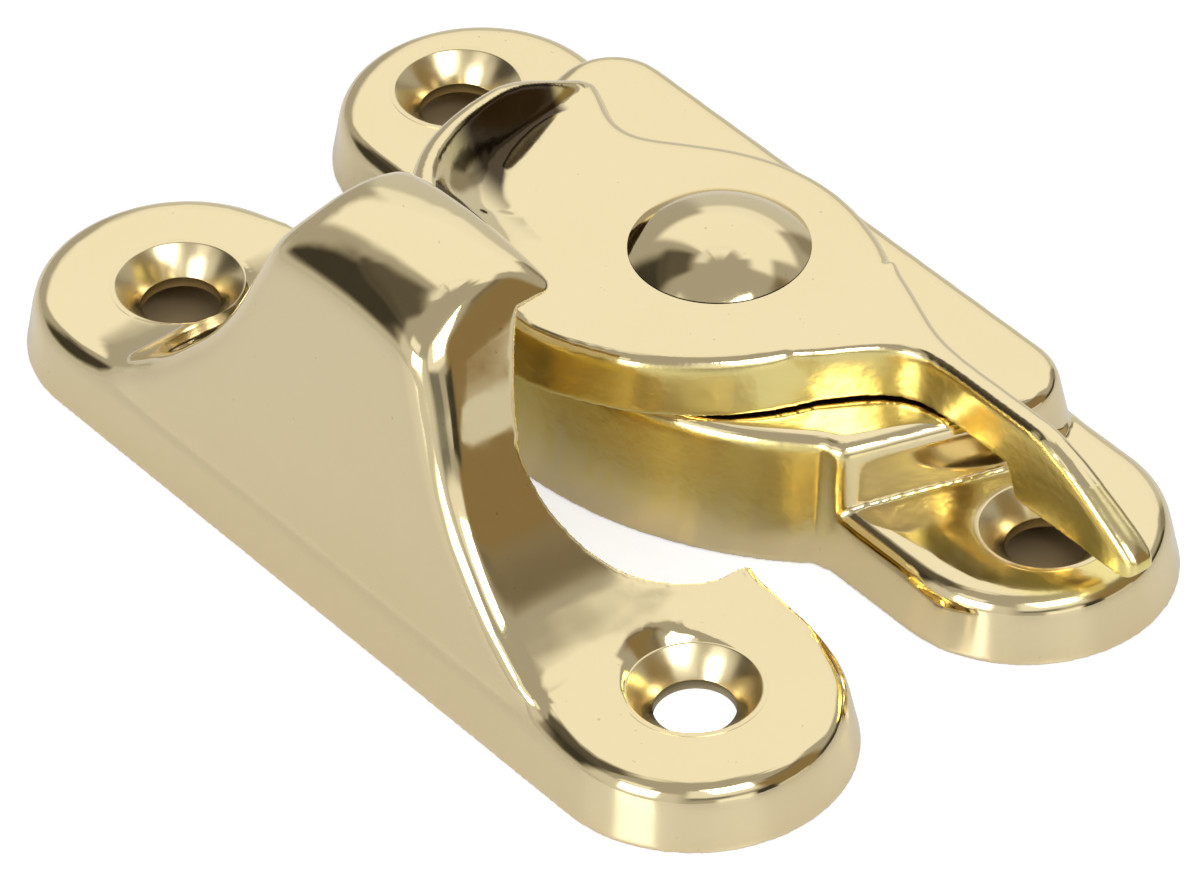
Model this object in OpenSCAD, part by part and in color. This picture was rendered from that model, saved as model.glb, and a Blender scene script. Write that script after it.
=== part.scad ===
// Sash lock of the cam and hook pattern, in cast and polished brass.
// A base carries a cam lever on a domed rivet; a separate hook keeper stands in front of it.
// Origin: middle of the whole lock's footprint, on the mounting face.
// +X runs along the meeting rail towards the lever's grip, +Y away from the keeper, +Z up.

/* [Base casting] */
// Length over the two rounded ears
base_len = 73.6; // [72:0.2:78]
// Width over the ears at the mounting face
base_w = 19.2; // [18.6:0.2:20]
// Distance between the two screw holes
base_hole_gap = 58.2; // [57.6:0.2:60]
// Thickness of the ears
ear_t = 4.5; // [4.3:0.1:4.8]
// Height of the raised boss that the lever turns on
boss_h = 8.8; // [8.6:0.1:9.4]
// Left end of the boss, at the mounting face on its straight side
boss_left = -25.8; // [-26.2:0.1:-25]
// Right end of the boss, at the mounting face on its straight side
boss_right = 27.2; // [26.4:0.1:27.4]
// How far the boss's ends lean in towards the keeper, in degrees
boss_lean = 18.8; // [17:0.2:20]
// Radius of the boss's bowed front
bow_r = 27.7; // [27:0.1:28.4]
// Corner radius of the boss on its straight side
boss_corner_r = 5.4; // [4:0.1:6]

/* [Hook keeper] */
// Length over the keeper's two rounded ears
keeper_len = 71.6; // [70:0.2:76]
// Width of the keeper at the mounting face
keeper_w = 20; // [19.6:0.1:20.6]
// Distance between the keeper's screw holes
keeper_hole_gap = 51.5; // [51:0.1:53]
// Keeper's centre along the rail, from the base's centre
keeper_x = 1.1; // [0.4:0.1:1.8]
// Distance from the base's hole line to the keeper's hole line
keeper_front = 26; // [25.8:0.1:28]
// Height of the hook
hook_h = 24.6; // [24.4:0.1:25.4]
// Height of the underside of the hook's lip
mouth_h = 21.8; // [21.3:0.1:22]
// Radius with which the inner wall turns forward under the lip
mouth_r = 20.5; // [20:0.1:22]
// How far the hook's inner wall stands back from the keeper's hole line
hook_back = 1.35; // [1.2:0.05:1.5]
// Reach of the lip beyond the keeper's hole line
lip_reach = 4.6; // [4:0.1:4.8]
// Half width of the hook at its lip
hook_half_w = 8.2; // [7.8:0.1:8.6]
// Radius of the hook's bowed top
hood_r = 8.5; // [8:0.1:9]
// Rounding at the sides of the hook's top
hood_side_r = 1.8; // [1.6:0.1:2.2]
// Rounding at the front and the rear of the hook's top
hood_edge_r = 1; // [0.8:0.1:1.1]
// Half width of the slot's straight wall
slot_flat = 10.8; // [10.5:0.1:11]
// Corner radius of the slot that clears the cam and the base
slot_r = 9.3; // [9.1:0.1:9.5]

/* [Cam lever] */
// Pivot's place along the rail
pivot_x = 3.1; // [2.6:0.1:3.6]
// Pivot's distance from the base's hole line, towards the keeper
pivot_front = 4.3; // [4:0.1:4.6]
// Thickness of the lever's plate
plate_t = 3.9; // [3.6:0.1:4.2]
// Radius of the plate's round front
plate_r = 12.2; // [12:0.1:12.6]
// Radius of the plate's hub, on the side away from the keeper
hub_r = 10; // [9.8:0.1:10.4]
// Greatest reach of the cam from the pivot
cam_r = 21; // [20.6:0.1:21.2]
// Height of the cam's rim above the plate
cam_rise = 3.3; // [3:0.1:3.6]
// Width of the flat on top of the cam's rim
rim_flat = 0.4; // [0.3:0.05:0.6]
// Length of the grip, from the pivot to its tip
grip_len = 35.6; // [35:0.1:36.2]
// Thickness of the grip's blade at the plate
grip_t = 2; // [1.8:0.05:2.2]
// Distance of the grip's near face from the pivot's centre line
grip_off = 2.7; // [2.5:0.1:2.9]
// Depth of the grip's web below the plate
web_drop = 2.4; // [2:0.1:2.6]
// Distance from the pivot at which the web starts
web_start = 24; // [23.9:0.1:25]

/* [Rivet and washers] */
// Diameter of the rivet's domed head
head_d = 11.5; // [11:0.1:12.5]
// Height of the domed head
head_h = 2.2; // [2:0.1:2.6]
// Diameter of the rivet's shank
shank_d = 5; // [4.6:0.1:5.4]
// Thickness of the dished spring washer
spring_t = 0.5; // [0.4:0.05:0.6]
// Rise of the dished spring washer
spring_rise = 0.4; // [0.3:0.05:0.5]
// Diameter of both washers
washer_d = 11; // [10:0.1:12]
// Thickness of the flat tail washer
washer_t = 1; // [0.8:0.1:1.2]

/* [Screw holes] */
// Diameter of the screw holes
hole_d = 5.2; // [4.8:0.1:5.4]
// Diameter of the countersinks at the ear's face
sink_d = 8.4; // [8:0.1:8.8]

/* [Casting] */
// Inward lean of the cast walls per millimetre of height
draft = 0.185; // [0.17:0.005:0.19]
// Thickness of the castings' walls
wall = 2.4; // [2.2:0.1:2.4]
// Rounding of the ears' outer edges
ear_edge_r = 1.3; // [1.1:0.05:1.4]
// Rounding of the outer edges of the boss and the lever
edge_r = 0.9; // [0.7:0.05:1]
// Gap between the boss and the lever's plate
seat_gap = 0.2; // [0.15:0.05:0.3]
// Radial clearance of the rivet in the lever and in the boss
pivot_clear = 0.05; // [0.03:0.01:0.08]
// Axial clearance between the turning faces
face_clear = 0.05; // [0.03:0.01:0.08]

/* [Hidden] */
BRASS = "#d9c58f";
STEEL = "#b9b9b4";

round_steps = 5;
bore_fn = 96;
plate_z = boss_h + seat_gap;
plate_top = plate_z + plate_t;
roof_z = boss_h - wall;
collar_r = head_d / 2 + 0.5;

// Middle of the footprint, seen from the midpoint of the base's hole line
mid_x = (max(base_len / 2, pivot_x + grip_len, keeper_x + keeper_len / 2)
    - max(base_len / 2, keeper_len / 2 - keeper_x)) / 2;
mid_y = (base_w / 2 - keeper_front - keeper_w / 2) / 2;

// The rivet holds the lever from above and the two washers from below
head_z = plate_top + face_clear;
washer_top = roof_z - spring_rise - spring_t;
tail_z = washer_top - washer_t;
tail_d = shank_d + 2.4;
tail_h = 1.4;

// Eased step from 0 to 1 while t runs from a to b
function ease(t, a, b) = let (u = min(max((t - a) / (b - a), 0), 1)) u * u * (3 - 2 * u);

// Points of a circular arc from angle a to angle b
function arc(centre, r, a, b, n) =
    [for (i = [0 : n]) let (t = a + (b - a) * i / n) centre + r * [cos(t), sin(t)]];

// One point of a smooth curve between b and c, with neighbours a and d
function between(a, b, c, d, t) =
    0.5 * (2 * b + (c - a) * t + (2 * a - 5 * b + 4 * c - d) * t * t + (3 * b - a - 3 * c + d) * t * t * t);

// A smooth open curve through the points p, with k steps between neighbours
function open_curve(p, k) =
    let (n = len(p))
    concat(
        [for (i = [0 : n - 2], j = [0 : k - 1])
            between(p[max(i - 1, 0)], p[i], p[i + 1], p[min(i + 2, n - 1)], j / k)],
        [p[n - 1]]);

// A smooth closed curve through the points p, with k steps between neighbours
function closed_curve(p, k) =
    let (n = len(p))
    [for (i = [0 : n - 1], j = [0 : k - 1])
        between(p[(i + n - 1) % n], p[i], p[(i + 1) % n], p[(i + 2) % n], j / k)];

// Unit vector pointing inwards from point i of a closed outline that runs anticlockwise
function inward(p, i) =
    let (n = len(p), v = p[(i + 1) % n] - p[(i + n - 1) % n])
    [-v.y, v.x] / norm(v);

// A wall with draft and a rounded top edge that rises by h, as [inset, height] steps
function wall_steps(h, r) =
    concat(
        [[0, 0]],
        [for (i = [0 : round_steps]) let (a = 90 * i / round_steps)
            [draft * (h - r) + r * (1 - cos(a)), h - r + r * sin(a)]]);

// Closed surface through rings that run anticlockwise and have equal numbers of points
module skin(rings, lid = []) {
    n = len(rings[0]);
    last = len(rings) - 1;
    sides = [for (k = [0 : last - 1], i = [0 : n - 1], half = [0, 1])
        let (j = (i + 1) % n, a = k * n, b = a + n)
        half == 0 ? [a + i, b + i, b + j] : [a + i, b + j, a + j]];
    foot = [[for (i = [0 : n - 1]) i]];
    top = len(lid) > 0 ? [for (f = lid) [for (i = f) last * n + i]] : [[for (i = [n - 1 : -1 : 0]) last * n + i]];
    polyhedron([for (ring = rings, q = ring) q], concat(sides, foot, top));
}

// Cast block that rises from an outline, with draft and a rounded top edge
module cast_block(outline, h) {
    n = len(outline);
    skin([for (s = wall_steps(h, edge_r))
        [for (i = [0 : n - 1]) let (q = outline[i] + inward(outline, i) * s[0]) [q.x, q.y, s[1]]]]);
}

// Half section of a casting's ear: flat foot, wall with draft, rounded top edge
module ear_section(r, h) {
    polygon(concat([[0, 0]], [for (s = wall_steps(h, ear_edge_r)) [r - s[0], s[1]]], [[0, h]]));
}

// Long plate with two round ears
module eared_plate(length, r, h) {
    reach = length / 2 - r;
    for (side = [-1, 1])
        translate([side * reach, 0, 0])
            rotate([0, 0, -90 * side])
                rotate_extrude(angle = 180, $fn = bore_fn) ear_section(r, h);
    translate([-reach, 0, 0])
        rotate([90, 0, 90])
            linear_extrude(2 * reach) {
                ear_section(r, h);
                mirror([1, 0]) ear_section(r, h);
            }
}

// Screw hole with a countersink that carries on for a short way above the ear's face
module screw_hole(above) {
    sink_h = (sink_d - hole_d) / 2;
    translate([0, 0, -1]) cylinder(h = ear_t + 1, d = hole_d, $fn = bore_fn);
    translate([0, 0, ear_t - sink_h])
        cylinder(h = sink_h + above, d1 = hole_d, d2 = sink_d + 2 * above, $fn = bore_fn);
}

// Recess under an eared plate, all along its length
module long_recess(length, r, depth) {
    reach = length / 2 - r - wall;
    for (side = [-1, 1])
        translate([side * reach, 0, -1]) cylinder(h = depth + 1, r = r, $fn = bore_fn);
    translate([-reach, -r, -1]) cube([2 * reach, 2 * r, depth + 1]);
}

// Outline of the boss at the mounting face: straight back, leaning ends, bowed front
boss_back = base_w / 2;
bow_x = -0.9;
boss_front = -base_w / 2 - 0.3;
// Corner radius at the foot of the boss's front: the draft and the top rounding use it up
foot_corner_r = draft * (boss_h - edge_r) + edge_r + 0.25;

// Distance from the back at which an end, d beside the bow's centre, meets the bow
function end_meets_bow(d) =
    let (t = tan(boss_lean), a = 1 + t * t, b = t * d, c = d * d - bow_r * bow_r)
    (b + sqrt(b * b - a * c)) / a;

// Rounded corner at p between the directions from and to, as a short arc
function boss_corner(p, r, a0, a1, n) =
    let (turn = (a1 - a0) / 2, mid = (a0 + a1) / 2, c = p - [cos(mid), sin(mid)] * r / cos(turn))
    arc(c, r, a0, a1, n);

function boss_outline() =
    let (
        t = tan(boss_lean),
        depth = boss_back - boss_front,
        right_foot = [boss_right - t * depth, boss_front],
        bow_end = bow_x + sqrt(bow_r * bow_r - depth * depth),
        left_down = end_meets_bow(bow_x - boss_left),
        left_foot = [boss_left + t * left_down, boss_back - left_down],
        a_left = 180 + atan2(left_down, bow_x - left_foot.x),
        a_right = 360 - atan2(depth, bow_end - bow_x))
    concat(
        arc([bow_x, boss_back], bow_r, a_left + 4, a_right - 1.6, 22),
        boss_corner(right_foot, foot_corner_r, -90, -boss_lean, 4),
        boss_corner([boss_right, boss_back], boss_corner_r, -boss_lean, 90, 7),
        boss_corner([boss_left, boss_back], boss_corner_r, 90, 180 + boss_lean, 7),
        boss_corner(left_foot, foot_corner_r, 180 + boss_lean, a_left, 3));

// Hollow under the boss, a wall's thickness inside its outline
module boss_hollow() {
    side = wall + draft * ear_t;
    t = tan(boss_lean);
    back = boss_back - side;
    step = side / cos(boss_lean) + t * side;
    translate([0, 0, -1])
        linear_extrude(roof_z + 1)
            intersection() {
                translate([bow_x, boss_back]) circle(r = bow_r - side, $fn = 160);
                polygon([
                    [boss_left + step, back],
                    [boss_left + step + t * bow_r, back - bow_r],
                    [boss_right - step - t * bow_r, back - bow_r],
                    [boss_right - step, back]]);
            }
}

module base_casting() {
    color(BRASS)
        difference() {
            union() {
                eared_plate(base_len, base_w / 2, ear_t);
                cast_block(boss_outline(), boss_h);
            }
            boss_hollow();
            long_recess(base_len, base_w / 2 - wall, ear_t - wall);
            for (side = [-1, 1])
                translate([side * base_hole_gap / 2, 0, 0]) screw_hole(0.4);
            translate([pivot_x, -pivot_front, 0])
                cylinder(h = 2 * boss_h, d = shank_d + 2 * pivot_clear, $fn = bore_fn);
        }
}

// Flank of the hook as [half width, height], from the ear's face up to the hood
flank = open_curve([
    [hook_half_w + 18.8, ear_t - 0.2],
    [hook_half_w + 15.8, ear_t + 0.12],
    [hook_half_w + 13.8, ear_t + 0.45],
    [hook_half_w + 12.3, ear_t + 1.1],
    [hook_half_w + 10.8, ear_t + 2.1],
    [hook_half_w + 9.4, ear_t + 3],
    [hook_half_w + 7.9, ear_t + 4.2],
    [hook_half_w + 5.4, ear_t + 6.6],
    [hook_half_w + 4, ear_t + 8.3],
    [hook_half_w + 2.9, ear_t + 10],
    [hook_half_w + 2, ear_t + 11.8],
    [hook_half_w + 1.35, ear_t + 13.4],
    [hook_half_w + 0.75, ear_t + 14.7]], 2);

// Half width of the hood at the height z
function hood_w(z) = lookup(z, [
    [ear_t + 14.7, hook_half_w + 0.75],
    [ear_t + 16.3, hook_half_w],
    [ear_t + 17.3, hook_half_w - 0.45],
    [ear_t + 18.4, hook_half_w - 0.95]]);

// Outline of one ring of the hook, anticlockwise from the middle of the front
function ring_plan(w, y0, y1, rx, ry) =
    let (
        n = 8,
        rear_r = 0.8,
        sides = 5,
        x = w - rx,
        right = concat(
            [[0, y0], [0.55 * x, y0]],
            [for (i = [0 : n]) let (a = 90 * i / n) [x + rx * sin(a), y0 + ry - ry * cos(a)]],
            [for (i = [1 : sides]) [w, y0 + ry + (y1 - y0 - ry - rear_r) * i / (sides + 1)]],
            [for (i = [0 : n]) let (a = 90 * i / n) [w - rear_r + rear_r * cos(a), y1 - rear_r + rear_r * sin(a)]],
            [[0.55 * x, y1]]))
    concat(right, [[0, y1]], [for (i = [len(right) - 1 : -1 : 1]) [-right[i].x, right[i].y]]);

// One level of the flared part, its corners drawn out where the flank lies flat
function flank_ring(k) =
    let (
        w = flank[k][0],
        z = flank[k][1],
        up = flank[min(k + 1, len(flank) - 1)],
        down = flank[max(k - 1, 0)],
        slope = (down[0] - up[0]) / (up[1] - down[1]),
        rear = keeper_w / 2 - draft * z - (keeper_w / 2 - draft * mouth_h - lip_reach) * ease(z, 9, 17),
        rc = 1.1 + 0.9 * ease(z, 8, 20))
    [for (q = ring_plan(w, -keeper_w / 2 + draft * z, rear, min(rc * sqrt(1 + slope * slope), 0.6 * w), rc))
        [q.x, q.y, z]];

// The hood: bowed from front to rear, a little from side to side, rounded all round
hood_y = 0.3;
crease_z = hook_h - 2.2;
hood_front = -keeper_w / 2 + draft * crease_z;
hood_corner = 2;

function hood_top(x, y) = hook_h - pow(y - hood_y, 2) / (2 * hood_r) - 0.8 * pow(x / hook_half_w, 2);

// Outline of the hood where its rounding has turned by a
function hood_plan(a) =
    let (back = 1 - cos(a))
    ring_plan(
        hook_half_w - hood_side_r * back,
        hood_front + hood_edge_r * back,
        lip_reach - hood_edge_r * back,
        hood_corner, hood_corner);

function hood_ring(a) =
    let (straight = hook_half_w - hood_side_r * (1 - cos(a)) - hood_corner)
    [for (q = hood_plan(a))
        let (
            side = pow(max(abs(q.x) - straight, 0) / hood_corner, 2),
            z = hood_top(q.x, q.y) - (hood_edge_r + (hood_side_r - hood_edge_r) * side) * (1 - sin(a)),
            lean = draft * (z - crease_z) * (lip_reach - q.y) / (lip_reach - hood_front))
        [q.x * hood_w(z) / hook_half_w, q.y + lean, z]];

// A ring on the hood's top, drawn in by the shares sx and sy
function cap_ring(sx, sy) =
    let (mid = (hood_front + lip_reach) / 2)
    [for (q = hood_plan(90))
        let (x = q.x * sx, y = mid + (q.y - mid) * sy)
        [x * hood_w(hook_h) / hook_half_w, y, hood_top(x, y)]];

module hook_tower() {
    rings = concat(
        [for (k = [0 : len(flank) - 1]) flank_ring(k)],
        [for (a = [0 : 15 : 90]) hood_ring(a)],
        [cap_ring(0.75, 0.94), cap_ring(0.45, 0.86), cap_ring(0.12, 0.76)]);
    n = len(rings[0]);
    // The last ring is closed with strips from side to side
    lid = concat(
        [[0, n - 1, 1]],
        [for (i = [1 : n / 2 - 2], half = [0, 1])
            half == 0 ? [i, n - i, i + 1] : [n - i, n - i - 1, i + 1]],
        [[n / 2 - 1, n / 2 + 1, n / 2]]);
    skin(rings, lid);
}

// Slot behind the hook, from the ear's edge to the inner wall, grown by g
module slot_plan(g) {
    centre_y = slot_r - hook_back;
    for (side = [-1, 1])
        translate([side * slot_flat, centre_y]) circle(r = slot_r + g, $fn = 128);
    translate([-slot_flat, -hook_back - g]) square([2 * slot_flat, keeper_w]);
    translate([-slot_flat - slot_r - g, centre_y]) square([2 * (slot_flat + slot_r + g), keeper_w]);
}

// The slot's cut: its straight wall turns forward under the lip
module slot_cut() {
    turn = 31;
    start = mouth_h - mouth_r * sin(turn);
    difference() {
        translate([0, 0, -1]) linear_extrude(mouth_h + 1) slot_plan(0);
        translate([-slot_flat, 0, 0])
            rotate([90, 0, 90])
                linear_extrude(2 * slot_flat)
                    polygon(concat(
                        [[-hook_back - 1, mouth_h + 1], [-hook_back - 1, start]],
                        arc([mouth_r - hook_back, start], mouth_r, 180, 180 - turn, 10),
                        [[mouth_r * (1 - cos(turn)) - hook_back, mouth_h + 1]]));
    }
}

module hook_keeper() {
    inner_r = keeper_w / 2 - wall;
    color(BRASS)
        difference() {
            union() {
                eared_plate(keeper_len, keeper_w / 2, ear_t);
                hook_tower();
            }
            slot_cut();
            difference() {
                union() {
                    long_recess(keeper_len, inner_r, ear_t - wall);
                    translate([-slot_flat - 1, -inner_r, -1]) cube([2 * slot_flat + 2, keeper_w / 2, ear_t + 2.5]);
                }
                translate([0, 0, -2]) linear_extrude(keeper_w) slot_plan(wall);
            }
            for (side = [-1, 1])
                translate([side * keeper_hole_gap / 2, 0, 0]) screw_hole(1);
        }
}

// Plan of the lever's head at the plate's foot, as [radius, angle] about the pivot
head_plan = [
    [plate_r + 0.5, -62], [plate_r - 0.1, -42], [plate_r - 0.1, -22], [plate_r + 0.2, -4],
    [plate_r + 0.1, 14], [hub_r + 1.8, 30], [hub_r + 1.2, 46], [hub_r + 0.4, 62], [hub_r, 80],
    [hub_r, 98], [hub_r + 0.3, 116], [hub_r + 0.9, 134], [hub_r + 1.8, 149.5], [hub_r + 2.9, 159.3],
    [cam_r - 7, 163.2], [cam_r - 5.6, 164.2], [cam_r - 3.6, 163.4], [cam_r - 1.9, 163.3],
    [cam_r - 1.06, 165.5], [cam_r - 0.75, 168.5], [cam_r - 0.8, 177], [cam_r - 0.6, 188],
    [cam_r - 0.2, 200], [cam_r, 211], [cam_r - 0.4, 222], [cam_r - 1.6, 232], [cam_r - 3.1, 242],
    [cam_r - 4.4, 251], [cam_r - 5.7, 260.5], [plate_r + 2.1, 272], [plate_r + 1.1, 285]];

// Height of the cam's rim above the plate, in the direction a
function rim_rise(a) =
    cam_rise * ease(a, 163, 190) * (1 - 0.78 * ease(a, 234, 259)) * (1 - ease(a, 258, 263));

// Distance from the plate's edge to the foot of the cam's hollow, in the direction a
function hollow_run(a) = 2.3 + 5.3 * ease(a, 175, 232) * (1 - ease(a, 240, 275));

// Profile of the cam's hollow, from the rim down to the plate, as [way, height] shares
hollow = [[0, 1], [0.06, 0.9], [0.18, 0.62], [0.38, 0.32], [0.66, 0.1], [1, 0]];

module lever_head() {
    plan = closed_curve([for (q = head_plan) q[0] * [cos(q[1]), sin(q[1])]], 3);
    n = len(plan);
    angle = [for (q = plan) let (a = atan2(q.y, q.x)) a < 0 ? a + 360 : a];
    rise = [for (a = angle) rim_rise(a)];
    inner = [for (i = [0 : n - 1]) inward(plan, i)];
    walls = [for (k = [0 : round_steps + 1])
        [for (i = [0 : n - 1])
            let (s = wall_steps(plate_t + rise[i], edge_r)[k], q = plan[i] + inner[i] * s[0])
            [q.x, q.y, plate_z + s[1]]]];
    slopes = [for (share = hollow)
        [for (i = [0 : n - 1])
            let (
                start = draft * (plate_t + rise[i] - edge_r) + edge_r + 0.05 + rim_flat * rise[i] / cam_rise,
                run = start + (hollow_run(angle[i]) - start) * share[0] + 0.4 * share[0],
                q = plan[i] + inner[i] * run)
            [q.x, q.y, plate_top + rise[i] * share[1]]]];
    skin(concat(walls, slopes));
}

// Sections of the grip, as [x, near y, far y, underside, top]
grip_far = grip_off + grip_t;
web_z = plate_z - web_drop;
grip_path = [
    [8, grip_off - 7.7, grip_far + 2.9, plate_z, plate_top],
    [11, grip_off - 6.3, grip_far + 1.9, plate_z, plate_top],
    [12.2, grip_off - 4.7, grip_far + 1.45, plate_z, plate_top],
    [13.3, grip_off - 2.9, grip_far + 1.05, plate_z, plate_top],
    [14.2, grip_off - 1.65, grip_far + 0.72, plate_z, plate_top],
    [15.1, grip_off - 0.8, grip_far + 0.45, plate_z, plate_top],
    [16.4, grip_off - 0.2, grip_far + 0.18, plate_z, plate_top],
    [18.5, grip_off, grip_far, plate_z, plate_top],
    [web_start, grip_off, grip_far, plate_z, plate_top],
    [web_start + 0.8, grip_off, grip_far, web_z, plate_top],
    [grip_len - 9.4, grip_off, grip_far, web_z, plate_top],
    [grip_len - 7.9, grip_off, grip_far, web_z, plate_top - 0.3],
    [grip_len - 6.3, grip_off, grip_far + 0.05, web_z, plate_top - 0.95],
    [grip_len - 4.8, grip_off, grip_far + 0.1, web_z, plate_top - 1.75],
    [grip_len - 3.4, grip_off, grip_far + 0.15, web_z, plate_top - 2.6],
    [grip_len - 2, grip_off, grip_far + 0.2, web_z, plate_top - 3.45],
    [grip_len - 0.9, grip_off, grip_far + 0.2, web_z + 0.05, plate_top - 4.15],
    [grip_len - 0.35, grip_off + 0.15, grip_far + 0.05, web_z + 0.25, plate_top - 4.6],
    [grip_len, grip_off + 0.5, grip_far - 0.3, web_z + 0.6, plate_top - 5]];

module lever_grip() {
    top_r = 0.5;
    turn = [for (i = [0 : 4]) 90 * i / 4];
    skin([for (s = grip_path)
        let (
            near = s[1],
            far = s[2],
            low = s[3],
            high = s[4],
            lean = 0.5 * draft * max(high - max(low, plate_z), 0),
            r = min(top_r, (far - near) / 4, (high - low) / 3),
            near_top = near + 0.35 * lean,
            far_top = far - 0.25 * lean)
        concat(
            [[s[0], near, low], [s[0], far, low]],
            [for (a = turn) [s[0], far_top - r + r * cos(a), high - r + r * sin(a)]],
            [for (a = turn) [s[0], near_top + r - r * sin(a), high - r + r * cos(a)]])]);
}

module cam_lever() {
    color(BRASS)
        translate([pivot_x, -pivot_front, 0])
            difference() {
                union() {
                    lever_head();
                    lever_grip();
                    translate([0, 0, boss_h + face_clear])
                        cylinder(h = seat_gap, r = collar_r, $fn = bore_fn);
                }
                cylinder(h = 2 * plate_top, d = shank_d + 2 * pivot_clear, $fn = bore_fn);
            }
}

module pivot_rivet() {
    r = head_d / 2;
    ball = (r * r + head_h * head_h) / (2 * head_h);
    reach = asin(r / ball);
    dome = [for (i = [0 : 24]) let (a = reach * (1 - i / 24)) [ball * sin(a), head_z + head_h - ball + ball * cos(a)]];
    color(BRASS)
        translate([pivot_x, -pivot_front, 0])
            rotate_extrude($fn = bore_fn)
                polygon(concat(
                    [[0, tail_z - tail_h], [tail_d / 2 - 1, tail_z - tail_h], [tail_d / 2 - 0.3, tail_z - tail_h + 0.4],
                        [tail_d / 2, tail_z - 0.5], [tail_d / 2, tail_z], [shank_d / 2, tail_z], [shank_d / 2, head_z]],
                    dome));
}

module spring_washer() {
    inner = shank_d / 2 + 2 * pivot_clear;
    outer = washer_d / 2;
    color(STEEL)
        translate([pivot_x, -pivot_front, washer_top])
            rotate_extrude($fn = bore_fn)
                polygon([[inner, 0], [outer, spring_rise], [outer, spring_rise + spring_t], [inner, spring_t]]);
}

module tail_washer() {
    color(STEEL)
        translate([pivot_x, -pivot_front, tail_z])
            difference() {
                cylinder(h = washer_t, d = washer_d, $fn = bore_fn);
                translate([0, 0, -1]) cylinder(h = washer_t + 2, d = shank_d + 2 * pivot_clear, $fn = bore_fn);
            }
}

translate([-mid_x, -mid_y, 0]) base_casting();
translate([keeper_x - mid_x, -keeper_front - mid_y, 0]) hook_keeper();
translate([-mid_x, -mid_y, 0]) cam_lever();
translate([-mid_x, -mid_y, 0]) pivot_rivet();
translate([-mid_x, -mid_y, 0]) spring_washer();
translate([-mid_x, -mid_y, 0]) tail_washer();
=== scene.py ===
"""Sash lock with a hook keeper and a cam lever: polished castings dressed for the photograph's view.

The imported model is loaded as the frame. Each casting is taken from its solid and given a fine even
mesh with softened edges. The screw holes get machined skins of their own, so that they stay crisp.
"""

import logging
import math
from dataclasses import dataclass, field
from enum import Enum

import bmesh
import bpy
from mathutils import Euler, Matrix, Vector
from mathutils.kdtree import KDTree


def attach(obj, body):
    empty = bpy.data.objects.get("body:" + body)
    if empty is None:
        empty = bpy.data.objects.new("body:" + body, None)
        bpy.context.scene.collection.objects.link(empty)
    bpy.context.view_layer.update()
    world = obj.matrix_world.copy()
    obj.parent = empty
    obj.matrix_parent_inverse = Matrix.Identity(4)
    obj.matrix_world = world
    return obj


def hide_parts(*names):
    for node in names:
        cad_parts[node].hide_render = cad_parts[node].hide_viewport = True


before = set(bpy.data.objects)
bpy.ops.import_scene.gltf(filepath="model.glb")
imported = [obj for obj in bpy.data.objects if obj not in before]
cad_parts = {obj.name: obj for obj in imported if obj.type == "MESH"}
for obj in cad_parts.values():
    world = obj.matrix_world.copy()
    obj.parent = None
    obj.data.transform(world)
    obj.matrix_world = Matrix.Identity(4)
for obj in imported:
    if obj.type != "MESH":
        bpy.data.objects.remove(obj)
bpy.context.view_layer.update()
LOG = logging.getLogger("sash_lock")
MM = 0.001
MERGE = 0.001 * MM
Socket = bpy.types.NodeSocket
Colour = tuple[float, float, float]
Point = tuple[float, float, float]


class Body(Enum):
    """The frame's rigid bodies."""

    FIXED = "fixed"
    LEVER = "lever"


class Slot(Enum):
    """The record's material slots."""

    CAST = "cast_brass"
    RIVET = "rivet_brass"
    WASHER = "washer_steel"


@dataclass(frozen=True)
class Place:
    """Where the screw holes stand, in metres, as the solids have them."""

    base: tuple[float, float] = (-0.95 * MM, 13.2 * MM)
    base_hole_x: float = 29.1 * MM
    keeper: tuple[float, float] = (0.15 * MM, -12.8 * MM)
    keeper_hole_x: float = 25.75 * MM
    ear_t: float = 4.5 * MM
    hole_r: float = 2.6 * MM
    sink_r: float = 4.2 * MM

    def holes(self) -> list[tuple[float, float]]:
        """Gives the four screw holes' axes.

        Returns:
            Each hole's x and y, the base's two first.
        """
        places = []
        for (x, y), reach in ((self.base, self.base_hole_x), (self.keeper, self.keeper_hole_x)):
            places += [(x - reach, y), (x + reach, y)]
        return places


PLACE = Place()


@dataclass(frozen=True)
class Ramp:
    """A smooth step from 0 at start to 1 at end, also where end is the lesser."""

    start: float
    end: float

    def at(self, value: float) -> float:
        """Reads the step.

        Args:
            value: Where it is read.

        Returns:
            The share from 0 to 1.
        """
        share = min(max((value - self.start) / (self.end - self.start), 0.0), 1.0)
        return share * share * (3.0 - 2.0 * share)


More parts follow.
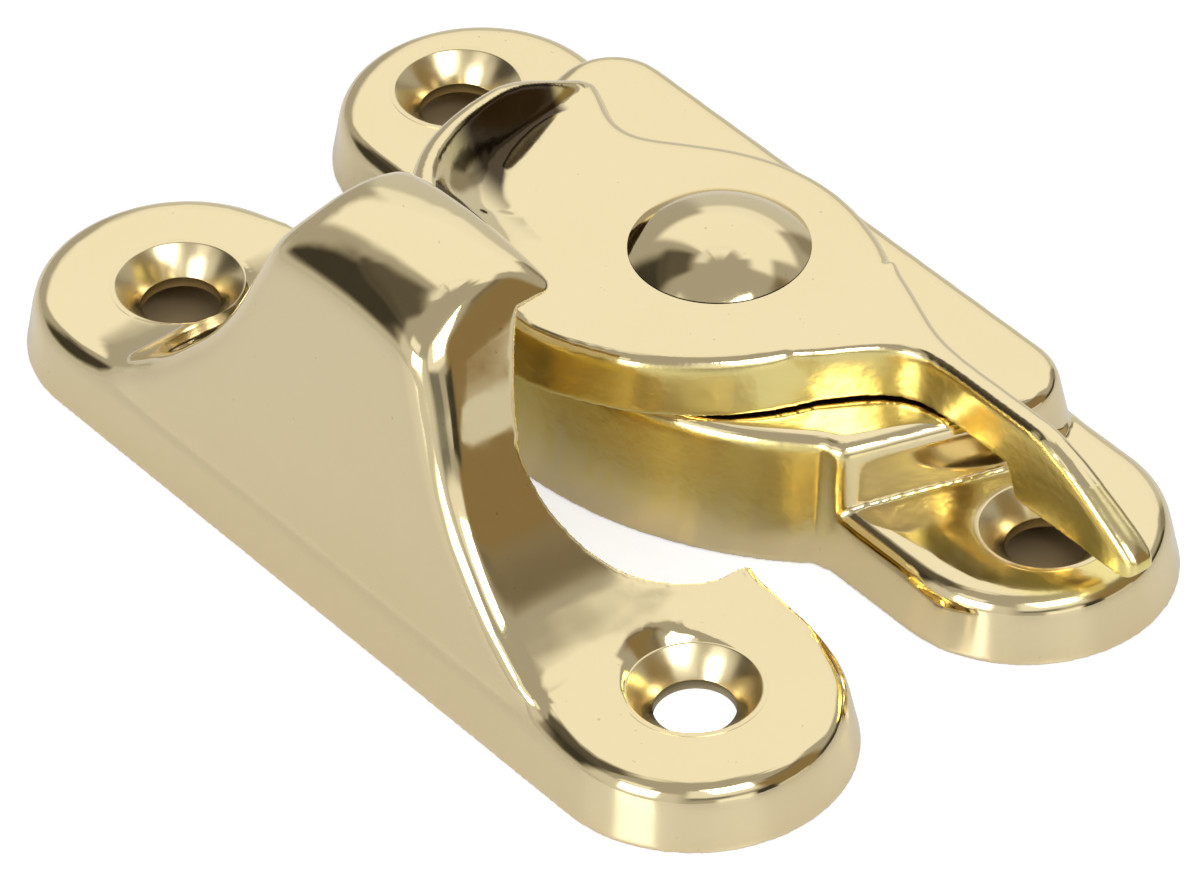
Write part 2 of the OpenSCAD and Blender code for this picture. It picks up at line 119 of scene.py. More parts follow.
@dataclass(frozen=True)
class Wiring:
    """Short forms for adding nodes to one material's or world's tree."""

    tree: bpy.types.NodeTree

    def feed(self, target: Socket, value: "Socket | float | tuple[float, ...]") -> None:
        """Links an input to a socket, or sets it to a plain value.

        Args:
            target: The input.
            value: The socket or the value.
        """
        if isinstance(value, (int, float, tuple)):
            target.default_value = value
        else:
            self.tree.links.new(value, target)

    def read(self, kind: str, output: str) -> Socket:
        """Adds a node that needs no input.

        Args:
            kind: The node's type.
            output: The wanted output.

        Returns:
            That output.
        """
        return self.tree.nodes.new(kind).outputs[output]

    def attribute(self, name: str) -> Socket:
        """Adds a reader of the mesh's own attribute.

        Args:
            name: The attribute.

        Returns:
            Its value.
        """
        node = self.tree.nodes.new("ShaderNodeAttribute")
        node.attribute_name = name
        return node.outputs["Fac"]

    def noise(self, place: Socket, scale: float, detail: float) -> Socket:
        """Adds a noise over the object.

        Args:
            place: The coordinates.
            scale: How many blobs fit in a metre.
            detail: How many finer layers it has.

        Returns:
            The noise's value.
        """
        node = self.tree.nodes.new("ShaderNodeTexNoise")
        node.inputs["Scale"].default_value = scale
        node.inputs["Detail"].default_value = detail
        self.feed(node.inputs["Vector"], place)
        return node.outputs["Fac"]

    def spread(
        self, value: Socket, start: float, end: float, first: float = 0.0, last: float = 1.0, smooth: bool = False
    ) -> Socket:
        """Adds a step from one number to another.

        Args:
            value: The socket that is stepped.
            start: Where the step starts.
            end: Where it ends.
            first: The number before the step.
            last: The number after it.
            smooth: Whether the step eases in and out.

        Returns:
            The stepped value.
        """
        node = self.tree.nodes.new("ShaderNodeMapRange")
        if smooth:
            node.interpolation_type = "SMOOTHSTEP"
        for name, number in (("From Min", start), ("From Max", end), ("To Min", first), ("To Max", last)):
            node.inputs[name].default_value = number
        self.feed(node.inputs["Value"], value)
        return node.outputs["Result"]

    def blend(self, share: Socket, first: "Socket | float", second: "Socket | float", kind: str = "FLOAT") -> Socket:
        """Adds a mix of two numbers or colours.

        Args:
            share: How much of the second is taken.
            first: The first value.
            second: The second value.
            kind: FLOAT for numbers, RGBA for colours.

        Returns:
            The mixed value.
        """
        node = self.tree.nodes.new("ShaderNodeMix")
        node.data_type = kind
        for name, value in (("Factor", share), ("A", first), ("B", second)):
            self.feed(node.inputs[name], value)
        return node.outputs["Result"]

    def tint(self, share: Socket, first: "Socket | Colour", second: Colour) -> Socket:
        """Adds a mix of two colours.

        Args:
            share: How much of the second is taken.
            first: The first colour.
            second: The second colour.

        Returns:
            The mixed colour.
        """
        first = (*first, 1.0) if isinstance(first, tuple) else first
        return self.blend(share, first, (*second, 1.0), "RGBA")

    def math(self, operation: str, *values: "Socket | float") -> Socket:
        """Adds one arithmetic node.

        Args:
            operation: The node's operation.
            *values: Sockets or numbers, in order.

        Returns:
            The node's result.
        """
        node = self.tree.nodes.new("ShaderNodeMath")
        node.operation = operation
        for target, value in zip(node.inputs, values):
            self.feed(target, value)
        return node.outputs["Value"]

    def distance(self, place: Socket, point: Point) -> Socket:
        """Adds the distance from a point.

        Args:
            place: The coordinates.
            point: The point.

        Returns:
            The distance.
        """
        node = self.tree.nodes.new("ShaderNodeVectorMath")
        node.operation = "DISTANCE"
        self.feed(node.inputs[0], place)
        self.feed(node.inputs[1], point)
        return node.outputs["Value"]

    def bump(self, height: Socket, distance: float, strength: float = 1.0, under: Socket | None = None) -> Socket:
        """Adds fine relief.

        Args:
            height: The relief's height, 0 to 1.
            distance: How high 1 is, in metres.
            strength: How much of the relief shows.
            under: The relief that it lies on, if any.

        Returns:
            The surface's direction.
        """
        node = self.tree.nodes.new("ShaderNodeBump")
        node.inputs["Strength"].default_value = strength
        node.inputs["Distance"].default_value = distance
        self.feed(node.inputs["Height"], height)
        if under is not None:
            self.feed(node.inputs["Normal"], under)
        return node.outputs["Normal"]


@dataclass(frozen=True)
class PolishedBrass:
    """Pale cast brass, polished: a mirror-like metal with faint handling marks."""

    name: str
    colour: Colour = (0.885, 0.75, 0.45)
    deep: Colour = (0.86, 0.715, 0.41)
    deep_share: float = 0.35
    # Painted shade: a deeper olive tint on the cast skin that stands in for the darker, browner reflections the walls
    # and undersides get from the shaded floor and the brass around them.
    cast: Colour = (0.9, 0.76, 0.29)
    # Near-black colour for the painted dark reflection in the crescent hollow, and for the small dark flecks.
    painted_reflection_and_flecks: Colour = (0.08, 0.057, 0.033)
    flecks: float = 0.25
    roughness: float = 0.05
    smear: float = 0.06
    cast_roughness: float = 0.26
    wave: float = 0.05 * MM
    wave_strength: float = 0.4
    pits: float = 0.03 * MM

    def build(self) -> bpy.types.Material:
        """Makes the node material.

        Returns:
            The finished material, reading Object coordinates and the piece's own attributes.
        """
        mat = bpy.data.materials.new(self.name)
        mat.use_nodes = True
        shader = mat.node_tree.nodes["Principled BSDF"]
        wiring = Wiring(mat.node_tree)
        place = wiring.read("ShaderNodeTexCoord", "Object")
        # The cast skin's share drives the satin roughness and the pits, and also the painted shade tint in the
        # colour.
        cast_skin_and_shade = wiring.attribute("cast_skin_and_shade")
        wiring.feed(shader.inputs["Metallic"], 1.0)
        wiring.feed(shader.inputs["Base Color"], self.paint(wiring, place, cast_skin_and_shade))
        wiring.feed(shader.inputs["Roughness"], self.blur(wiring, place, cast_skin_and_shade))
        wiring.feed(shader.inputs["Normal"], self.relief(wiring, place, cast_skin_and_shade))
        return mat

    def paint(self, wiring: Wiring, place: Socket, cast_skin_and_shade: Socket) -> Socket:
        """Lays the colour: blotches, a deeper tint on the cast skin that is partly painted shade, a painted dark
        reflection in the crescent hollow, and a few dark flecks.

        Args:
            wiring: The material's tree.
            place: The object's coordinates.
            cast_skin_and_shade: How much of the cast skin is left.

        Returns:
            The colour.
        """
        blotches = wiring.spread(wiring.noise(place, 60.0, 3.0), 0.45, 0.8, last=self.deep_share)
        flecks = wiring.spread(wiring.noise(place, 2300.0, 1.0), 0.77, 0.83, last=self.flecks)
        colour = wiring.tint(blotches, self.colour, self.deep)
        # A painted shade tint on the cast skin, then a painted dark reflection in the crescent hollow.
        colour = wiring.tint(cast_skin_and_shade, colour, self.cast)
        colour = wiring.tint(wiring.attribute("painted_reflection_and_flecks"), colour, self.painted_reflection_and_flecks)
        return wiring.tint(flecks, colour, self.painted_reflection_and_flecks)

    def blur(self, wiring: Wiring, place: Socket, cast_skin_and_shade: Socket) -> Socket:
        """Lays the roughness: faint smears, and the satin of the cast skin.

        Args:
            wiring: The material's tree.
            place: The object's coordinates.
            cast_skin_and_shade: How much of the cast skin is left.

        Returns:
            The roughness.
        """
        smears = wiring.noise(place, 900.0, 4.0)
        gloss = wiring.spread(smears, 0.35, 0.75, self.roughness, self.roughness + self.smear)
        return wiring.blend(cast_skin_and_shade, gloss, self.cast_roughness)

    def relief(self, wiring: Wiring, place: Socket, cast_skin_and_shade: Socket) -> Socket:
        """Lays the relief: slight waves from hand polishing, and pits in the cast skin.

        Args:
            wiring: The material's tree.
            place: The object's coordinates.
            cast_skin_and_shade: How much of the cast skin is left.

        Returns:
            The surface's direction.
        """
        waves = wiring.bump(wiring.noise(place, 260.0, 1.0), self.wave, self.wave_strength)
        pits = wiring.math("MULTIPLY", wiring.noise(place, 1100.0, 3.0), cast_skin_and_shade)
        return wiring.bump(pits, self.pits, under=waves)


@dataclass(frozen=True)
class CastSkinAndShade:
    """Where the polishing wheel did not reach, and where a painted shade tint goes: places in millimetres, steepness
    by the normal's parts.
    """

    node: str
    steep: Ramp = Ramp(0.75, 0.35)
    lever_top: Ramp = Ramp(20.0, 11.0)
    lever_under: float = 11.0
    under_share: float = 0.4
    boss_x: float = -0.95
    boss_width: Ramp = Ramp(22.0, 17.0)
    boss_foot: Ramp = Ramp(1.0, 3.5)
    pocket_share: float = 0.8
    pocket_left: Ramp = Ramp(15.0, 18.0)
    pocket_front: Ramp = Ramp(6.5, 8.5)
    pocket_back: Ramp = Ramp(15.5, 13.5)
    pocket_top: Ramp = Ramp(6.0, 5.2)
    pocket_flat: Ramp = Ramp(0.3, 0.7)
    ear: tuple[float, float] = (28.15, 13.2)
    ear_edge: Ramp = Ramp(7.4, 6.2)

    def share(self, place: Vector, normal: Vector) -> float:
        """Tells how much of the cast skin, and of its painted shade tint, is at a point.

        Args:
            place: The point.
            normal: The surface's direction there.

        Returns:
            0 where it is polished to 1 where it is as cast.
        """
        x, y, z = (c / MM for c in place)
        steep = self.steep.at(abs(normal.z))
        if self.node == "cam_lever":
            # The lever's underside keeps at least under_share of the painted shade tint.
            return steep * self.lever_top.at(z) if z > self.lever_under else max(steep, self.under_share)
        if self.node == "base_casting":
            boss = self.boss_width.at(abs(x - self.boss_x)) * self.boss_foot.at(z)
            # The pocket on the right ear's top carries a painted reflection of the lever's gold underside, on a satin
            # skin.
            pocket = self.pocket_left.at(x) * self.pocket_front.at(y) * self.pocket_back.at(y) * self.pocket_top.at(z)
            pocket *= self.ear_edge.at(math.hypot(max(x - self.ear[0], 0.0), y - self.ear[1]))
            pocket *= self.pocket_flat.at(normal.z)
            return max(steep * boss, self.pocket_share * pocket)
        return 0.0


@dataclass(frozen=True)
class PaintedRimReflection:
    """Painted dark reflection inside the lever's crescent rim, standing for the dark surroundings its mirror walls
    face: places in millimetres, slopes by the normal's parts.
    """

    node: str
    wall_lean: Ramp = Ramp(0.2, 0.45)
    wall_steep: Ramp = Ramp(0.93, 0.8)
    foot_lean: Ramp = Ramp(0.01, 0.05)
    foot_top: Ramp = Ramp(13.9, 13.4)
    right: Ramp = Ramp(-5.0, -7.0)
    plate: Ramp = Ramp(12.8, 12.9)
    front: Ramp = Ramp(0.0, 2.8)
    back: Ramp = Ramp(10.8, 9.8)

    def share(self, place: Vector, normal: Vector) -> float:
        """Tells how much painted dark reflection the crescent rim's inner wall gets at a point.

        Args:
            place: The point.
            normal: The surface's direction there.

        Returns:
            0 where it is bright to 1 where it is dark.
        """
        if self.node != "cam_lever":
            return 0.0
        x, y, z = (c / MM for c in place)
        wall = self.wall_lean.at(normal.x) * self.wall_steep.at(normal.z)
        foot = self.foot_lean.at(normal.x) * self.foot_top.at(z)
        inside = self.right.at(x) * self.plate.at(z) * self.front.at(y) * self.back.at(y)
        return max(wall, foot) * inside


@dataclass
class FineCasting:
    """A casting's own fine mesh, taken from its solid and softened as polishing does.

    The grid is turned by tilt, so that no edge of the casting runs along it. Near and far are the
    distances from a sharp edge where the calm smoothing starts and where it is full.
    """

    node: str
    body: Body
    slot: Slot
    grain: float = 0.14 * MM
    tilt: tuple[float, float, float] = (36.8, 45.5, 72.3)
    crease: float = 32.0
    spacing: float = 0.2 * MM
    near: float = 0.35 * MM
    far: float = 1.1 * MM
    levels: int = 12
    pull: float = 0.5
    rounds: int = 20
    calm: int = 90
    most: int = 190000
    melted: tuple[Point, ...] = ()
    melt: Ramp = Ramp(3.6 * MM, 2.2 * MM)
    guard: float = 0.4 * MM

    def fine_mesh(self) -> bpy.types.Object:
        """Merges a copy of the solid, remeshes it evenly, smooths it and thins its flats.

        Returns:
            A new object at the origin with the casting's fine mesh.
        """
        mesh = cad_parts[self.node].data.copy()
        mesh.name = f"{self.node}_fine"
        build = bmesh.new()
        build.from_mesh(mesh)
        bmesh.ops.remove_doubles(build, verts=build.verts, dist=MERGE)
        sharp = self.sharp_points(build)
        tilt = Euler([math.radians(a) for a in self.tilt]).to_matrix()
        bmesh.ops.rotate(build, verts=build.verts, cent=(0.0, 0.0, 0.0), matrix=tilt)
        build.to_mesh(mesh)
        build.free()
        piece = bpy.data.objects.new(f"{self.node}_fine", mesh)
        bpy.context.scene.collection.objects.link(piece)
        even = piece.modifiers.new("even", "REMESH")
        even.mode = "VOXEL"
        even.voxel_size = self.grain
        even.adaptivity = 0.0
        self.apply(piece)
        piece.data.transform(tilt.inverted().to_4x4())
        self.mark_open(piece, sharp)
        for name, rounds, group in (("calm", self.calm, "open"), ("soft", self.rounds, "")):
            smooth = piece.modifiers.new(name, "SMOOTH")
            smooth.factor = self.pull
            smooth.iterations = rounds
            smooth.vertex_group = group
        self.apply(piece)
        piece.data.shade_smooth()
        self.thin(piece)
        return piece

    def sharp_points(self, build: bmesh.types.BMesh) -> KDTree:
        """Gathers points along the solid's sharp edges.

        Args:
            build: The merged solid.

        Returns:
            A tree of evenly spaced points.
        """
        spots: list[Vector] = []
        for edge in build.edges:
            if edge.calc_face_angle(0.0) > math.radians(self.crease):
                one, two = (v.co for v in edge.verts)
                count = max(1, round((two - one).length / self.spacing))
                spots += [one.lerp(two, (i + 0.5) / count) for i in range(count)]
        tree = KDTree(len(spots))
        for i, spot in enumerate(spots):
            tree.insert(spot, i)
        tree.balance()
        return tree

    def mark_open(self, piece: bpy.types.Object, sharp: KDTree) -> None:
        """Weights each vertex by how far it lies from a sharp edge, and guards the screw holes.

        Args:
            piece: The evenly meshed casting.
            sharp: The points along the sharp edges.
        """
        holes = [] if self.body is Body.LEVER else PLACE.holes()
        members: list[list[int]] = [[] for _ in range(self.levels + 1)]
        for vertex in piece.data.vertices:
            share = (sharp.find(vertex.co)[2] - self.near) / (self.far - self.near)
            for spot in self.melted:
                share = max(share, self.melt.at((vertex.co - Vector(spot)).length))
            if any(math.dist(vertex.co.xy, axis) < PLACE.sink_r + self.guard for axis in holes):
                share = 0.0
            members[round(self.levels * min(max(share, 0.0), 1.0))].append(vertex.index)
        group = piece.vertex_groups.new(name="open")
        for level, indices in enumerate(members):
            group.add(indices, level / self.levels, "REPLACE")

    def apply(self, piece: bpy.types.Object) -> None:
        """Applies the piece's modifiers to its mesh.

        Args:
            piece: The object whose modifiers are baked in.
        """
        depsgraph = bpy.context.evaluated_depsgraph_get()
        baked = bpy.data.meshes.new_from_object(piece.evaluated_get(depsgraph), depsgraph=depsgraph)
        piece.modifiers.clear()
        piece.data = baked

    def thin(self, piece: bpy.types.Object) -> None:
        """Thins the mesh where it is flat and keeps the dense mesh's normals.

        Args:
            piece: The smoothed casting.
        """
        triangles = sum(len(face.vertices) - 2 for face in piece.data.polygons)
        LOG.info("%s: %d triangles before thinning", piece.name, triangles)
        if triangles <= self.most:
            return
        dense = bpy.data.objects.new(f"{self.node}_dense", piece.data.copy())
        bpy.context.scene.collection.objects.link(dense)
        thin = piece.modifiers.new("thin", "DECIMATE")
        thin.ratio = self.most / triangles
        thin.vertex_group = "open"
        normals = piece.modifiers.new("normals", "DATA_TRANSFER")
        normals.object = dense
        normals.use_loop_data = True
        normals.data_types_loops = {"CUSTOM_NORMAL"}
        normals.loop_mapping = "POLYINTERP_NEAREST"
        self.apply(piece)
        piece.vertex_groups.clear()
        bpy.data.objects.remove(dense)

    def mark_finish(self, piece: bpy.types.Object) -> None:
        """Marks where the finish differs: the cast skin with its painted shade tint, and the painted dark reflection
        in the hollow.

        Args:
            piece: The finished casting.
        """
        for name, finish in (("cast_skin_and_shade", CastSkinAndShade(self.node)), ("painted_reflection_and_flecks", PaintedRimReflection(self.node))):
            values = [finish.share(vertex.co, vertex.normal) for vertex in piece.data.vertices]
            mark = piece.data.attributes.new(name, "FLOAT", "POINT")
            mark.data.foreach_set("value", values)

    def dress(self, material: bpy.types.Material) -> bpy.types.Object:
        """Builds the piece, gives it its finish and lets it stand for the solid.

        Args:
            material: The finish.

        Returns:
            The finished piece.
        """
        piece = self.fine_mesh()
        self.mark_finish(piece)
        piece.data.materials.clear()
        piece.data.materials.append(material)
        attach(piece, self.body.value)
        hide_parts(self.node)
        LOG.info("%s: %d faces", piece.name, len(piece.data.polygons))
        return piece


def shade_round(build: bmesh.types.BMesh, crease: float) -> None:
    """Shades a turned shape round, except across its creases.

    Args:
        build: The shape.
        crease: The least angle that stays sharp, in degrees.
    """
    for face in build.faces:
        face.smooth = True
    for edge in build.edges:
        edge.smooth = edge.calc_face_angle(0.0) < math.radians(crease)


@dataclass
class SmoothTurning:
    """A turned part: the solid's own shape with its facets shaded round."""

    node: str
    slot: Slot
    crease: float = 30.0

    def dress(self, material: bpy.types.Material) -> bpy.types.Object:
        """Copies the solid, shades it round and lets the copy stand for it.

        Args:
            material: The finish.

        Returns:
            The finished piece.
        """
        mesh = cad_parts[self.node].data.copy()
        mesh.name = f"{self.node}_round"
        build = bmesh.new()
        build.from_mesh(mesh)
        bmesh.ops.remove_doubles(build, verts=build.verts, dist=MERGE)
        shade_round(build, self.crease)
        build.to_mesh(mesh)
        build.free()
        mesh.materials.clear()
        mesh.materials.append(material)
        piece = bpy.data.objects.new(f"{self.node}_round", mesh)
        bpy.context.scene.collection.objects.link(piece)
        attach(piece, Body.FIXED.value)
        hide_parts(self.node)
        return piece


@dataclass
class MachinedSeat:
    """A screw hole's machined skin: crisp bore and countersink, cut after casting.

    It stands a little proud of the casting, and its rim and foot are buried in it.
    """

    name: str
    axis: tuple[float, float]
    proud: float = 0.06 * MM
    lip: float = 0.35 * MM
    buried: float = 0.3 * MM
    low: float = 2.2 * MM
    steps: int = 128
    crease: float = 32.0

    def section(self) -> list[Point]:
        """Draws the skin's section, from the foot up, with its corners broken by a few hundredths.

        Returns:
            The section's corners, in the plane through the hole's axis.
        """
        bore, sink = PLACE.hole_r - self.proud, PLACE.sink_r - self.proud
        top = PLACE.ear_t + self.proud / 4
        foot = top - (PLACE.sink_r - PLACE.hole_r)
        corners = (
            (bore + self.buried, self.low),
            (bore, self.low),
            (bore, foot - 0.05 * MM),
            (bore + 0.02 * MM, foot + 0.02 * MM),
            (sink - 0.06 * MM, top - 0.06 * MM),
            (sink - 0.01 * MM, top - 0.015 * MM),
            (sink + 0.06 * MM, top),
            (sink + self.lip, top),
            (sink + self.lip, top - self.buried),
        )
        x, y = self.axis
        return [(x + r, y, z) for r, z in corners]

    def dress(self, material: bpy.types.Material) -> bpy.types.Object:
        """Spins the hole's skin and fits it in the casting.

        Args:
            material: The finish.

        Returns:
            The finished piece.
        """
        build = bmesh.new()
        points = [build.verts.new(corner) for corner in self.section()]
        edges = [build.edges.new(pair) for pair in zip(points, points[1:] + points[:1])]
        bmesh.ops.spin(
            build, geom=points + edges, cent=(*self.axis, 0.0), axis=(0.0, 0.0, 1.0), angle=2 * math.pi,
            steps=self.steps, use_merge=True,
        )
        bmesh.ops.remove_doubles(build, verts=build.verts, dist=MERGE / 10)
        bmesh.ops.recalc_face_normals(build, faces=build.faces)
        shade_round(build, self.crease)
        mesh = bpy.data.meshes.new(self.name)
        build.to_mesh(mesh)
        build.free()
        mesh.materials.append(material)
        piece = bpy.data.objects.new(self.name, mesh)
        bpy.context.scene.collection.objects.link(piece)
        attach(piece, Body.FIXED.value)
        return piece


@dataclass(frozen=True)
class PhotoCamera:
    """The photograph's own viewpoint, from the fit to its screw holes and ears."""

    location: Point = (0.355028, -0.273669, 0.369888)
    turn: tuple[float, float, float] = (50.50224, 1.278758, 50.870726)
    lens: float = 278.0
    sensor: float = 36.0
    shift: tuple[float, float] = (-0.03959, 0.00072)
    clip: tuple[float, float] = (0.01, 20.0)

    def build(self) -> None:
        """Creates the camera and makes it the scene's camera."""
        data = bpy.data.cameras.new("photo_camera")
        data.lens = self.lens
        data.sensor_width = self.sensor
        data.shift_x, data.shift_y = self.shift
        data.clip_start, data.clip_end = self.clip
        camera = bpy.data.objects.new("photo_camera", data)
        camera.location = self.location
        camera.rotation_euler = [math.radians(a) for a in self.turn]
        bpy.context.scene.collection.objects.link(camera)
        bpy.context.scene.camera = camera


@dataclass(frozen=True)
class Lamp:
    """One soft area lamp, aimed at the object."""

    name: str
    place: Point
    side: float = 0.3
    power: float = 1.5

    def build(self) -> None:
        """Adds the lamp to the scene."""
        data = bpy.data.lights.new(self.name, "AREA")
        data.shape = "RECTANGLE"
        data.size = data.size_y = self.side
        data.energy = self.power
        lamp = bpy.data.objects.new(self.name, data)
        lamp.location = self.place
        lamp.rotation_euler = (-Vector(self.place)).to_track_quat("-Z", "Y").to_euler()
        bpy.context.scene.collection.objects.link(lamp)


@dataclass(frozen=True)
class SoftBox:
    """One part of the room, by its edges in degrees: from +Y towards +X, and above the horizon."""

    middle: float
    half: float
    low: float
    high: float
    edge: float
    level: float
    warm: float = 0.0


@dataclass(frozen=True)
class Surroundings:
    """The room that the metal mirrors: white panels, two lamps, grey and brown walls.

    A later box covers the earlier ones.
    """

    wall: float = 0.43
    wall_warm: float = 0.1
    ambient: float = 1.0
    brown: Colour = (1.0, 0.74, 0.38)
    boxes: tuple[SoftBox, ...] = (
        SoftBox(178.0, 38.0, -25.0, 37.0, 6.0, 0.68),
        SoftBox(-130.0, 35.0, -20.0, 9.0, 5.0, 0.55),
        SoftBox(-124.0, 21.0, 42.0, 68.0, 5.0, 0.11, 0.4),
        SoftBox(-130.0, 20.0, 12.0, 46.0, 7.0, 0.05, 0.4),
        SoftBox(58.0, 24.0, -12.0, 40.0, 5.0, 0.26, 1.0),
        SoftBox(54.0, 18.0, 38.0, 47.0, 4.0, 0.2, 0.6),
        SoftBox(61.0, 12.0, -14.0, 3.8, 0.8, 0.68),
        SoftBox(18.0, 20.0, -12.0, 10.0, 5.0, 0.05, 0.5),
        SoftBox(-8.0, 8.0, -5.0, 20.0, 4.0, 0.28, 0.3),
        SoftBox(-38.0, 22.0, -20.0, 20.0, 4.0, 0.63),
        SoftBox(-38.0, 22.0, 20.0, 32.0, 3.0, 0.95),
        SoftBox(22.0, 17.0, 50.0, 67.0, 4.0, 1.0),
        SoftBox(-105.0, 20.0, 71.0, 80.0, 3.0, 0.85),
        SoftBox(-38.0, 54.0, 29.0, 73.0, 4.0, 1.0),
        SoftBox(-50.0, 30.0, 70.0, 82.0, 5.0, 1.0),
        SoftBox(82.0, 8.0, -6.0, 13.0, 3.0, 0.05, 0.4),
        SoftBox(103.0, 13.0, -25.0, 10.0, 3.0, 1.05),
        SoftBox(110.0, 26.0, 21.0, 55.0, 4.0, 0.9),
        SoftBox(120.0, 14.0, 11.0, 19.0, 3.0, 0.2),
        SoftBox(102.0, 18.0, 40.0, 52.0, 3.0, 1.35),
        SoftBox(170.0, 13.0, 8.0, 30.0, 3.0, 1.9),
        SoftBox(178.0, 14.0, 40.0, 52.0, 3.0, 1.0),
        SoftBox(0.0, 190.0, -95.0, -9.0, 4.0, 0.74),
    )

    def build(self) -> None:
        """Wires the world: camera rays see white, glossy rays the room, others an even light."""
        world = bpy.data.worlds.new("studio")
        bpy.context.scene.world = world
        world.use_nodes = True
        back = world.node_tree.nodes["Background"]
        wiring = Wiring(world.node_tree)
        rays = world.node_tree.nodes.new("ShaderNodeLightPath").outputs
        level, warm = self.room(wiring)
        glossy = rays["Is Glossy Ray"]
        lit = wiring.math("MULTIPLY_ADD", glossy, wiring.math("SUBTRACT", level, self.ambient), self.ambient)
        seen = wiring.math("MAXIMUM", lit, rays["Is Camera Ray"])
        seen = wiring.math("MAXIMUM", seen, rays["Is Transmission Ray"])
        wiring.feed(back.inputs["Strength"], seen)
        hue = wiring.tint(wiring.math("MULTIPLY", warm, glossy), (1.0, 1.0, 1.0), self.brown)
        wiring.feed(back.inputs["Color"], hue)

    def room(self, wiring: Wiring) -> tuple[Socket, Socket]:
        """Lays out the room by direction.

        Args:
            wiring: The world's tree.

        Returns:
            The sockets with the room's brightness and its brownness.
        """
        parts = wiring.tree.nodes.new("ShaderNodeSeparateXYZ")
        wiring.feed(parts.inputs["Vector"], wiring.read("ShaderNodeTexCoord", "Generated"))
        around = wiring.math("ARCTAN2", parts.outputs["X"], parts.outputs["Y"])
        turn, rise = (
            wiring.math("MULTIPLY", angle, math.degrees(1.0))
            for angle in (around, wiring.math("ARCSINE", parts.outputs["Z"]))
        )
        level: Socket | float = self.wall
        warm: Socket | float = self.wall_warm
        for box in self.boxes:
            inside = self.inside(wiring, box, turn, rise)
            level = wiring.math("MULTIPLY_ADD", inside, wiring.math("SUBTRACT", box.level, level), level)
            warm = wiring.math("MULTIPLY_ADD", inside, wiring.math("SUBTRACT", box.warm, warm), warm)
        return level, warm

    def inside(self, wiring: Wiring, box: SoftBox, turn: Socket, rise: Socket) -> Socket:
        """Tells the directions that point into one box.

        Args:
            wiring: The world's tree.
            box: The box.
            turn: The direction's angle from +Y towards +X, in degrees.
            rise: The direction's angle above the horizon, in degrees.

        Returns:
            A socket that is 1 in the box and 0 away from it.
        """
        turned = wiring.math("WRAP", wiring.math("SUBTRACT", turn, box.middle), 180.0, -180.0)
        aside = wiring.math("ABSOLUTE", turned)
        rims = ((rise, box.low, box.edge), (rise, box.high, -box.edge), (aside, box.half, -box.edge))
        above, below, near = (
            wiring.spread(angle, rim - soft, rim + soft, smooth=True) for angle, rim, soft in rims
        )
        return wiring.math("MULTIPLY", near, wiring.math("MULTIPLY", above, below))


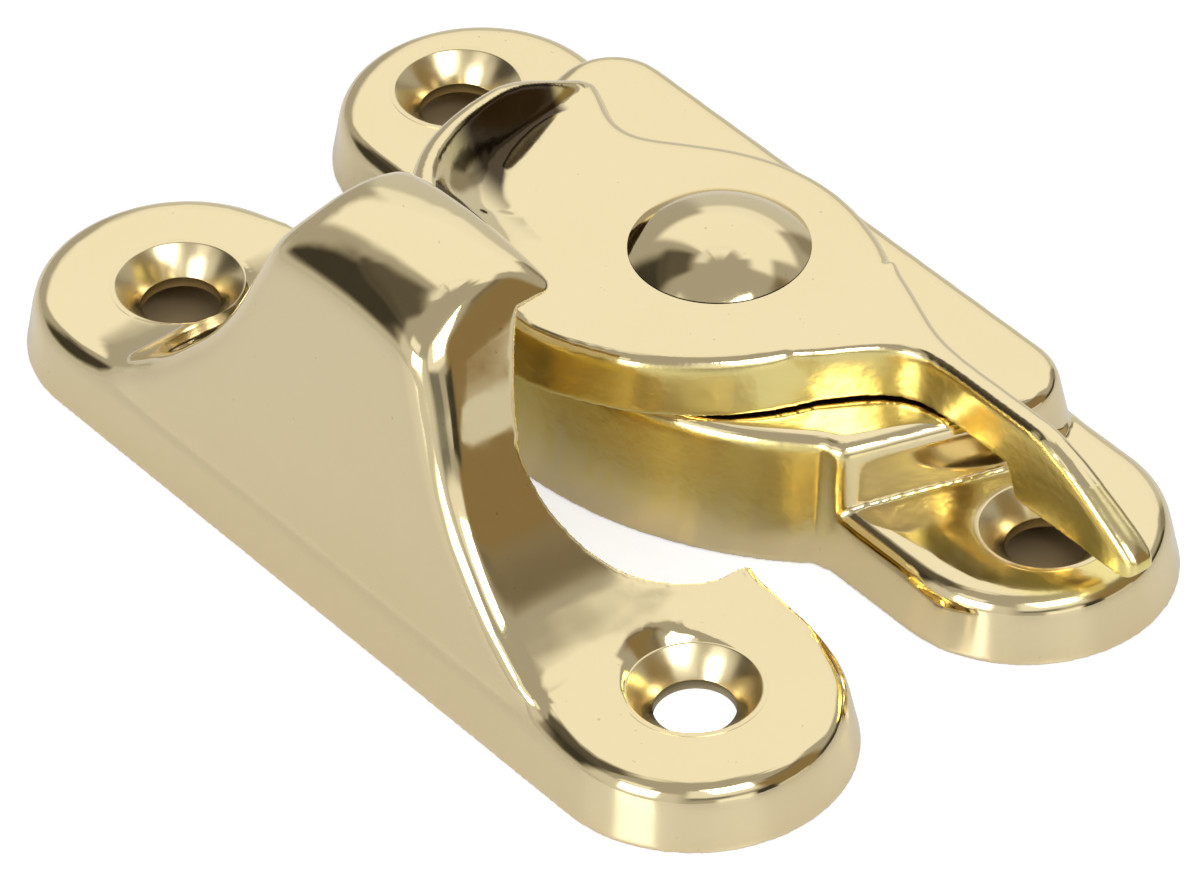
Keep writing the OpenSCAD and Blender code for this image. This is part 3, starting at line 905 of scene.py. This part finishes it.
@dataclass(frozen=True)
class Studio:
    """Pale floor, white surroundings and soft lamps.

    The floor that shows through the first three screw holes carries painted shadow, dark brown and unlifted; under
    the last it carries painted light that makes it glow white.
    """

    floor_size: float = 0.3
    floor_colour: Colour = (0.58, 0.58, 0.61)
    floor_roughness: float = 0.28
    floor_shine: float = 0.55
    # Painted shadow: dark brown floor colour under the first three screw holes.
    painted_hole_shadow: Colour = (0.36, 0.27, 0.15)
    gap: tuple[float, float] = (6.6 * MM, 7.6 * MM)
    dark_holes: int = 3
    lift: float = 0.5
    # Painted light: extra emission that makes the floor under the last screw hole glow white.
    painted_hole_light: float = 0.6
    lamps: tuple[Lamp, ...] = (
        Lamp("lamp_left", (0.133, -0.626, 0.285)),
        Lamp("lamp_right", (0.46, -0.10, 0.50)),
    )

    def floor(self) -> None:
        """Lays the pale floor under the object."""
        mesh = bpy.data.meshes.new("floor")
        build = bmesh.new()
        bmesh.ops.create_grid(build, x_segments=1, y_segments=1, size=self.floor_size)
        build.to_mesh(mesh)
        build.free()
        mesh.materials.append(self.pale_floor())
        floor = bpy.data.objects.new("floor", mesh)
        bpy.context.scene.collection.objects.link(floor)

    def pale_floor(self) -> bpy.types.Material:
        """Makes the floor's material, lifted to white where the camera sees it, with painted shadow under three screw
        holes and painted light under the fourth.

        Returns:
            The finished material.
        """
        mat = bpy.data.materials.new("pale_floor")
        mat.use_nodes = True
        shader = mat.node_tree.nodes["Principled BSDF"]
        wiring = Wiring(mat.node_tree)
        holes = PLACE.holes()
        open_floor = self.away_from(wiring, holes[: self.dark_holes])
        away_from_lit_hole = self.away_from(wiring, holes[self.dark_holes :])
        # The camera lift is taken off under the three holes with painted shadow.
        seen = wiring.math("MULTIPLY", wiring.read("ShaderNodeLightPath", "Is Camera Ray"), open_floor)
        # Painted light: the last hole's floor gets the extra lift and glows white.
        height = wiring.spread(away_from_lit_hole, 0.0, 1.0, self.lift + self.painted_hole_light, self.lift)
        # Painted shadow: dark brown base colour under the three holes.
        wiring.feed(shader.inputs["Base Color"], wiring.tint(open_floor, self.painted_hole_shadow, self.floor_colour))
        wiring.feed(shader.inputs["Roughness"], self.floor_roughness)
        wiring.feed(shader.inputs["Specular IOR Level"], self.floor_shine)
        wiring.feed(shader.inputs["Emission Color"], (1.0, 1.0, 1.0, 1.0))
        wiring.feed(shader.inputs["Emission Strength"], wiring.math("MULTIPLY", seen, height))
        return mat

    def away_from(self, wiring: Wiring, axes: list[tuple[float, float]]) -> Socket:
        """Tells the open floor from the floor that shows through some of the screw holes.

        Args:
            wiring: The floor material's tree.
            axes: Those holes' axes.

        Returns:
            A socket that is 0 under the holes and 1 elsewhere.
        """
        place = wiring.read("ShaderNodeTexCoord", "Object")
        nearest, *others = (wiring.distance(place, (*axis, 0.0)) for axis in axes)
        for other in others:
            nearest = wiring.math("MINIMUM", nearest, other)
        return wiring.spread(nearest, *self.gap)

    def build(self) -> None:
        """Sets up the floor, the surroundings and the lamps."""
        self.floor()
        Surroundings().build()
        for lamp in self.lamps:
            lamp.build()
        bpy.context.scene.view_settings.view_transform = "Standard"


def main() -> None:
    """Builds the studio and each piece in order."""
    logging.basicConfig(level=logging.INFO, format="%(message)s")
    PhotoCamera().build()
    Studio().build()
    brass = PolishedBrass("polished_brass").build()
    roots = ((-23.5 * MM, -21.8 * MM, 4.2 * MM), (23.8 * MM, -21.8 * MM, 4.2 * MM))
    castings = (
        FineCasting("base_casting", Body.FIXED, Slot.CAST),
        FineCasting("hook_keeper", Body.FIXED, Slot.CAST, calm=140, melted=roots),
        FineCasting("cam_lever", Body.LEVER, Slot.CAST, grain=0.13 * MM),
    )
    for casting in castings:
        casting.dress(brass)
    turned = PolishedBrass("turned_brass", roughness=0.2).build()
    for name, axis in zip(("base_left", "base_right", "keeper_left", "keeper_right"), PLACE.holes()):
        MachinedSeat(f"seat_{name}", axis).dress(turned)
    rivet = PolishedBrass("rivet_brass").build()
    steel = PolishedBrass("washer_steel", colour=(0.62, 0.62, 0.6), deep=(0.5, 0.5, 0.48), roughness=0.2).build()
    SmoothTurning("pivot_rivet", Slot.RIVET).dress(rivet)
    SmoothTurning("spring_washer", Slot.WASHER).dress(steel)
    SmoothTurning("tail_washer", Slot.WASHER).dress(steel)


if __name__ == "__main__":
    main()
